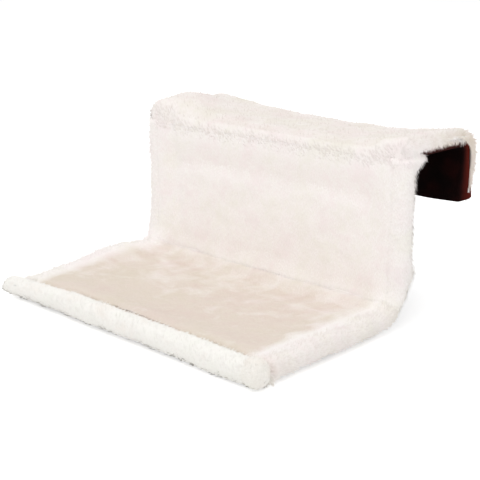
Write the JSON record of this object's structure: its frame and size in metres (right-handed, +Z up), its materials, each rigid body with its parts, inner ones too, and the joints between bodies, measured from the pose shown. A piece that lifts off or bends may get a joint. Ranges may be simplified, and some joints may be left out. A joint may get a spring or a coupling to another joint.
{
  "type": "cat radiator bed",
  "caption": "Plush pet bed on a bent tube frame that hooks over a radiator, with a padded seat, backrest, soft rolls and a hook that slides to the radiator's depth.",
  "frame": {"origin": "middle of the part's box at floor level, where the bed stands on its rolls", "axes": "+X along the bed's width, +Y from the seat towards the radiator, +Z up"},
  "size_m": [0.45, 0.4138, 0.2348],
  "materials": {
    "plush": "long pile plush",
    "velour": "short pile velour",
    "wadding": "polyester wadding",
    "closing_tape": "hook and loop tape",
    "painted_steel": "powder coat",
    "zinc_steel": "bright zinc",
    "black_plastic": "moulded"
  },
  "bodies": {
    "root": {"front_roll": "plush", "seat_panel": "plush", "back_panel": "plush", "hook_cover": "plush", "left_seat_roll": "plush", "left_back_roll": "plush", "right_seat_roll": "plush", "right_back_roll": "plush", "seat_lining": "velour", "back_lining": "velour", "channel_lining": "velour", "seat_wadding": "wadding", "back_wadding": "wadding", "loop_strip": "closing_tape", "hook_strip": "closing_tape", "front_bar": "painted_steel", "rear_strap": "painted_steel", "left_side_tube": "painted_steel", "left_upright": "painted_steel", "right_side_tube": "painted_steel", "right_upright": "painted_steel", "front_bolts": "zinc_steel", "joint_bolts": "zinc_steel", "joint_nuts": "zinc_steel", "strap_bolts": "zinc_steel", "strap_nuts": "zinc_steel", "side_tube_inserts": "zinc_steel", "front_bar_caps": "black_plastic", "arm_caps": "black_plastic", "arm_bushes": "black_plastic"},
    "hook": {"hook_rod": "zinc_steel", "rod_glides": "black_plastic", "rear_flap": "plush", "rear_flap_lining": "velour"},
    "left_clamp": {"left_clamp_screw": "zinc_steel", "left_clamp_knob": "black_plastic"},
    "right_clamp": {"right_clamp_screw": "zinc_steel", "right_clamp_knob": "black_plastic"}
  },
  "joints": [
    {"name": "hook_slide", "type": "slide", "parent": "root", "child": "hook", "axis": [0, 1, 0], "range_m": [0, 0.03]},
    {"name": "left_clamp_turn", "type": "hinge", "parent": "root", "child": "left_clamp", "pos_m": [-0.208, 0.1181, 0.2175], "axis": [-1, 0, 0], "range_deg": [0, 360]},
    {"name": "right_clamp_turn", "type": "hinge", "parent": "root", "child": "right_clamp", "pos_m": [0.208, 0.1181, 0.2175], "axis": [1, 0, 0], "range_deg": [0, 360]}
  ]
}
